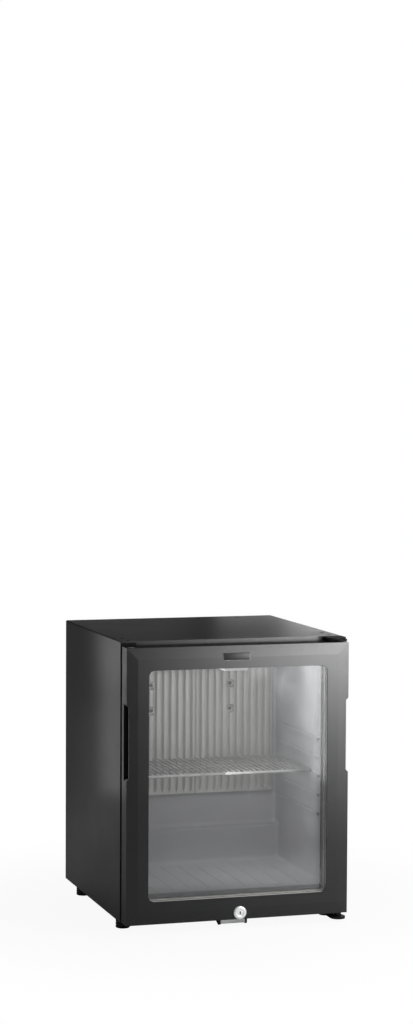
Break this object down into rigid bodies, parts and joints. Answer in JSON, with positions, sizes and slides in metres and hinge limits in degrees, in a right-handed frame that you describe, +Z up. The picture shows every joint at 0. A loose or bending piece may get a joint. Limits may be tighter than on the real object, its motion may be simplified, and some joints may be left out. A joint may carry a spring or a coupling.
{
  "type": "minibar fridge",
  "caption": "Black freestanding minibar with a right-hinged glazed door, cam lock, wire shelf, ribbed cold plate and an absorption cooling unit on its open back",
  "frame": {"origin": "middle of the footprint, on the floor under the feet", "axes": "X to the right as seen from the front, Y from the door to the back, Z up"},
  "size_m": [0.402, 0.428, 0.5005],
  "materials": {
    "black_paint": "satin",
    "black_plastic": "matte",
    "black_bracket": "matte",
    "liner_plastic": "gloss",
    "lamp_plastic": "gloss",
    "board": "matte",
    "foam": "matte",
    "aluminium": "satin",
    "glass": "gloss",
    "seal": "matte",
    "zinc": "satin",
    "bright": "polished",
    "wire": "gloss",
    "unit_paint": "gloss",
    "boiler": "satin"
  },
  "bodies": {
    "cabinet": {"outer_shell": "black_paint", "base_plate": "black_paint", "back_plate": "black_paint", "rear_foot_rail": "black_paint", "rear_top_rail": "black_paint", "top_rear_screws": "zinc", "foam_insulation": "foam", "insulation_plug": "foam", "inner_liner": "liner_plastic", "cold_plate": "aluminium", "cold_plate_screws": "zinc", "cold_block": "aluminium", "evaporator_tube": "unit_paint", "lamp_housing": "liner_plastic", "lamp_lens": "lamp_plastic", "lamp_board": "board", "top_hinge_bracket": "black_bracket", "top_hinge_pin": "zinc", "top_hinge_cover": "black_plastic", "top_corner_screws": "zinc", "hinge_slot_blank": "black_plastic", "bottom_hinge_bracket": "black_bracket", "bottom_hinge_pin": "zinc", "bottom_hinge_screws": "zinc", "striker_bracket": "black_bracket", "keeper_bar": "zinc", "foot_front_left": "black_plastic", "foot_front_right": "black_plastic", "foot_rear_left": "black_plastic", "foot_rear_right": "black_plastic", "condenser_tube": "unit_paint", "condenser_fins": "aluminium", "pump_tube": "unit_paint", "boiler_case": "boiler", "heater_cartridge": "zinc", "absorber_vessel": "unit_paint", "absorber_coil": "unit_paint", "gas_heat_exchanger": "unit_paint", "unit_brackets": "black_bracket", "control_box": "black_plastic", "cord_gland": "black_plastic"},
    "door": {"door_frame": "black_plastic", "front_glass": "glass", "front_spacer": "aluminium", "middle_glass": "glass", "rear_spacer": "aluminium", "rear_glass": "glass", "glass_retainer": "black_plastic", "door_gasket": "seal", "badge_plate": "aluminium", "top_hinge_bush": "black_plastic", "bottom_hinge_bush": "black_plastic", "spare_hinge_plugs": "black_plastic", "lock_housing": "bright", "lock_nut": "zinc"},
    "lock": {"lock_plug": "bright", "lock_cam": "zinc", "cam_screw": "zinc"},
    "shelf": {"wire_shelf": "wire"},
    "thermostat": {"thermostat_knob": "black_plastic"}
  },
  "joints": [
    {"name": "door_hinge", "type": "hinge", "parent": "cabinet", "child": "door", "pos_m": [0.188, -0.196, 0.25], "axis": [0, 0, 1], "range_deg": [0, 110]},
    {"name": "lock_turn", "type": "hinge", "parent": "door", "child": "lock", "pos_m": [0.003, -0.211, 0.0297], "axis": [0, 1, 0], "range_deg": [0, 90]},
    {"name": "shelf_slide", "type": "slide", "parent": "cabinet", "child": "shelf", "axis": [0, -1, 0], "range_m": [0, 0.045]},
    {"name": "thermostat_turn", "type": "hinge", "parent": "cabinet", "child": "thermostat", "pos_m": [-0.161, 0.188, 0.108], "axis": [0, 1, 0], "range_deg": [0, 270]}
  ]
}
